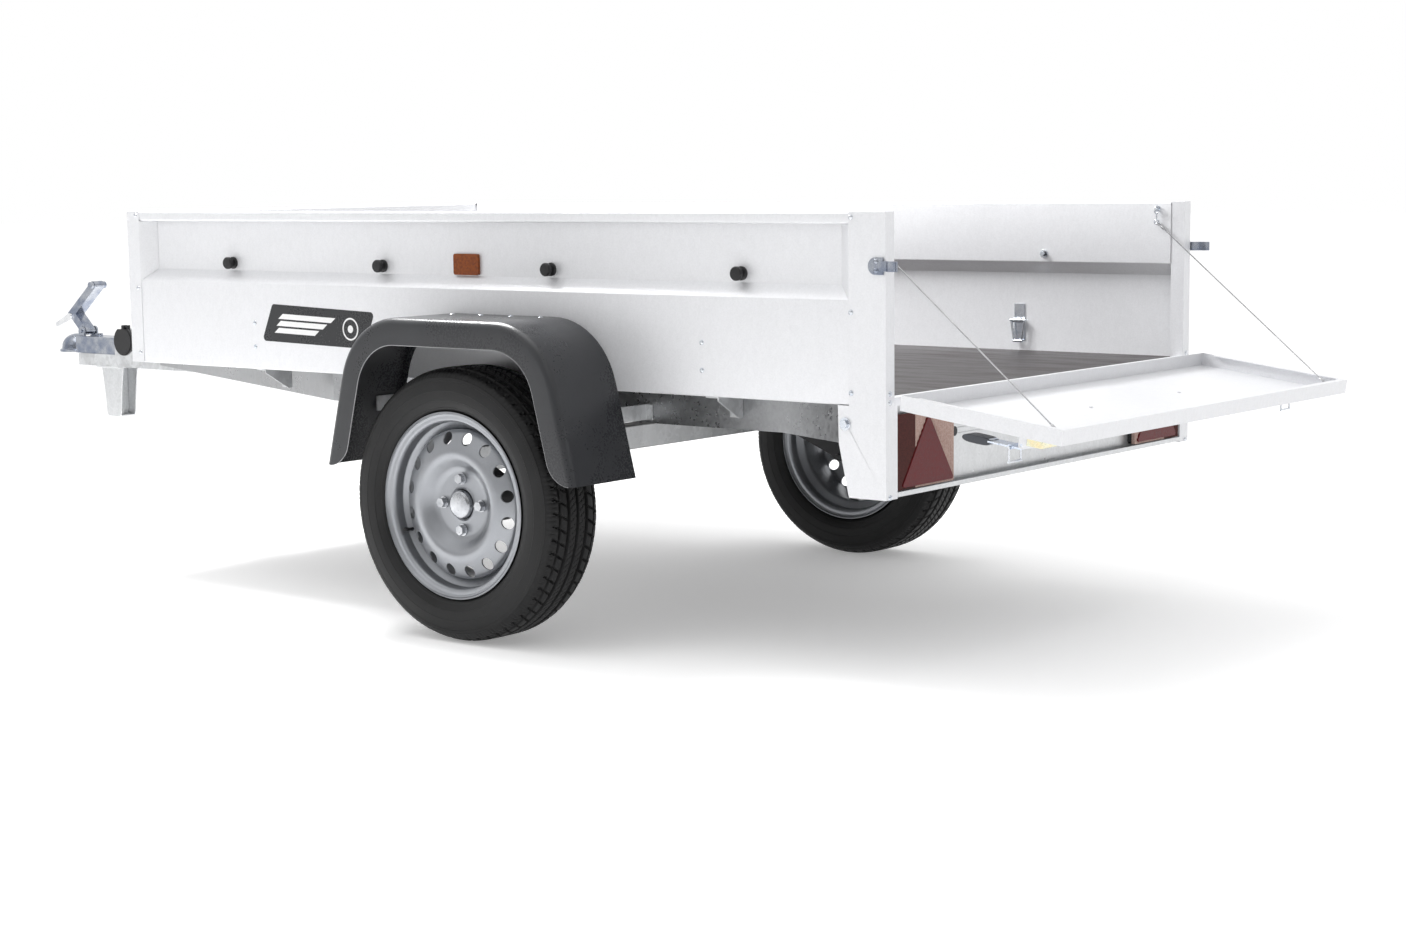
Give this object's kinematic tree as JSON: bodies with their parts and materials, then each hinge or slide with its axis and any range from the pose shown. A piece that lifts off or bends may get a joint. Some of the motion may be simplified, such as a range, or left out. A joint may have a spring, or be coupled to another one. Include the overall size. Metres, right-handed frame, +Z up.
{
  "type": "single-axle box trailer",
  "caption": "Galvanised single-axle box trailer with drop tailgate, stay wires, black mudguards, rubber-sprung swing arms and a ball coupling.",
  "frame": {"origin": "on the ground, midway between the open tailgate's rear edge and the coupling catch's front end, on the centre plane", "axes": "+X forward along the drawbar, +Y to the left side, +Z up"},
  "size_m": [3.4156, 1.479, 0.826],
  "materials": {
    "sheet_zinc": "satin zinc-coated sheet",
    "frame_zinc": "matt hot-dip zinc",
    "bright_zinc": "bright electroplated",
    "rim_paint": "silver lacquer",
    "forged": "black primer",
    "tyre_rubber": "matt",
    "cord_rubber": "matt",
    "board": "phenolic film faced plywood",
    "black_plastic": "grained",
    "lens": "clear moulded"
  },
  "bodies": {
    "chassis": {"floor_board": "board", "side_wall_left": "sheet_zinc", "side_wall_right": "sheet_zinc", "front_wall": "sheet_zinc", "front_posts": "sheet_zinc", "rear_post_left": "sheet_zinc", "rear_post_right": "sheet_zinc", "rear_sill": "sheet_zinc", "body_rivets": "bright_zinc", "chassis_beam_left": "frame_zinc", "chassis_beam_right": "frame_zinc", "cross_members": "frame_zinc", "body_brackets": "frame_zinc", "lamp_carrier": "sheet_zinc", "drawbar_head": "frame_zinc", "support_leg": "frame_zinc", "axle_tube": "frame_zinc", "axle_brackets": "frame_zinc", "rubber_cords_left": "cord_rubber", "rubber_cords_right": "cord_rubber", "mudguard_left": "black_plastic", "mudguard_right": "black_plastic", "gate_hinge_pins": "bright_zinc", "latch_strikes": "bright_zinc", "stay_wire_left": "bright_zinc", "stay_wire_right": "bright_zinc", "stay_hooks": "bright_zinc", "tarp_knobs": "black_plastic", "reflectors": "lens", "lamp_housings": "black_plastic", "lamp_lenses": "lens", "coupling_body": "bright_zinc", "socket_body": "black_plastic", "lash_plates": "bright_zinc"},
    "gate": {"tailgate": "sheet_zinc", "gate_shackles": "bright_zinc"},
    "latch_left": {"latch_lever_left": "bright_zinc"},
    "latch_right": {"latch_lever_right": "bright_zinc"},
    "bail_left": {"latch_bail_left": "bright_zinc"},
    "bail_right": {"latch_bail_right": "bright_zinc"},
    "arm_left": {"swing_arm_left": "forged"},
    "arm_right": {"swing_arm_right": "forged"},
    "wheel_left": {"hub_left": "forged", "rim_left": "rim_paint", "tyre_left": "tyre_rubber", "wheel_bolts_left": "bright_zinc", "hub_cap_left": "bright_zinc"},
    "wheel_right": {"hub_right": "forged", "rim_right": "rim_paint", "tyre_right": "tyre_rubber", "wheel_bolts_right": "bright_zinc", "hub_cap_right": "bright_zinc"},
    "handle": {"coupling_handle": "bright_zinc"},
    "clamp": {"ball_clamp": "forged"},
    "catch": {"safety_catch": "bright_zinc"},
    "lid": {"socket_lid": "black_plastic"},
    "ring_rear_left": {"lash_ring_rear_left": "bright_zinc"},
    "ring_rear_right": {"lash_ring_rear_right": "bright_zinc"},
    "ring_front_left": {"lash_ring_front_left": "bright_zinc"},
    "ring_front_right": {"lash_ring_front_right": "bright_zinc"}
  },
  "joints": [
    {"name": "tailgate_hinge", "type": "hinge", "parent": "chassis", "child": "gate", "pos_m": [-1.37723, 0, 0.495], "axis": [0, 1, 0], "range_deg": [0, 97.6], "deforming": ["stay_wire_left", "stay_wire_right"]},
    {"name": "latch_lever_left_hinge", "type": "hinge", "parent": "gate", "child": "latch_left", "pos_m": [-1.61981, 0.5245, 0.43792], "axis": [0, 1, 0], "range_deg": [0, 100]},
    {"name": "latch_bail_left_hinge", "type": "hinge", "parent": "latch_left", "child": "bail_left", "pos_m": [-1.59298, 0.5245, 0.43343], "axis": [0, 1, 0], "range_deg": [-35, 35]},
    {"name": "swing_arm_left_hinge", "type": "hinge", "parent": "chassis", "child": "arm_left", "pos_m": [-0.31754, 0.4, 0.32914], "axis": [0, 1, 0], "range_deg": [-5, 28], "stiffness_Nm_per_rad": 1000, "springref_deg": -2.86, "deforming": ["rubber_cords_left"]},
    {"name": "wheel_left_spin", "type": "hinge", "parent": "arm_left", "child": "wheel_left", "pos_m": [-0.45823, 0.656, 0.2665], "axis": [0, 1, 0], "continuous": true},
    {"name": "lash_ring_rear_left_hinge", "type": "hinge", "parent": "chassis", "child": "ring_rear_left", "pos_m": [-0.95023, 0.5505, 0.568], "axis": [-1, 0, 0], "range_deg": [0, 100]},
    {"name": "lash_ring_front_left_hinge", "type": "hinge", "parent": "chassis", "child": "ring_front_left", "pos_m": [0.27577, 0.5505, 0.568], "axis": [-1, 0, 0], "range_deg": [0, 100]},
    {"name": "latch_lever_right_hinge", "type": "hinge", "parent": "gate", "child": "latch_right", "pos_m": [-1.61981, -0.5245, 0.43792], "axis": [0, 1, 0], "range_deg": [0, 100]},
    {"name": "latch_bail_right_hinge", "type": "hinge", "parent": "latch_right", "child": "bail_right", "pos_m": [-1.59298, -0.5245, 0.43343], "axis": [0, 1, 0], "range_deg": [-35, 35]},
    {"name": "swing_arm_right_hinge", "type": "hinge", "parent": "chassis", "child": "arm_right", "pos_m": [-0.31754, -0.4, 0.32914], "axis": [0, 1, 0], "range_deg": [-5, 28], "stiffness_Nm_per_rad": 1000, "springref_deg": -2.86, "deforming": ["rubber_cords_right"]},
    {"name": "wheel_right_spin", "type": "hinge", "parent": "arm_right", "child": "wheel_right", "pos_m": [-0.45823, -0.656, 0.2665], "axis": [0, 1, 0], "continuous": true},
    {"name": "lash_ring_rear_right_hinge", "type": "hinge", "parent": "chassis", "child": "ring_rear_right", "pos_m": [-0.95023, -0.5505, 0.568], "axis": [1, 0, 0], "range_deg": [0, 100]},
    {"name": "lash_ring_front_right_hinge", "type": "hinge", "parent": "chassis", "child": "ring_front_right", "pos_m": [0.27577, -0.5505, 0.568], "axis": [1, 0, 0], "range_deg": [0, 100]},
    {"name": "coupling_handle_hinge", "type": "hinge", "parent": "chassis", "child": "handle", "pos_m": [1.59377, 0, 0.498], "axis": [0, -1, 0], "range_deg": [0, 60]},
    {"name": "ball_clamp_slide", "type": "slide", "parent": "chassis", "child": "clamp", "axis": [1, 0, 0], "range_m": [0, 0.0015]},
    {"name": "safety_catch_hinge", "type": "hinge", "parent": "handle", "child": "catch", "pos_m": [1.64477, 0.017, 0.536], "axis": [0, -1, 0], "range_deg": [0, 20], "stiffness_Nm_per_rad": 0.3, "springref_deg": -17.19},
    {"name": "socket_lid_hinge", "type": "hinge", "parent": "chassis", "child": "lid", "pos_m": [1.31277, 0.099, 0.522], "axis": [1, 0, 0], "range_deg": [0, 110], "stiffness_Nm_per_rad": 0.1, "springref_deg": -34.38}
  ],
  "couplings": [
    {"joint": "ball_clamp_slide", "follows": "coupling_handle_hinge", "m_per_rad": 0.001431}
  ]
}
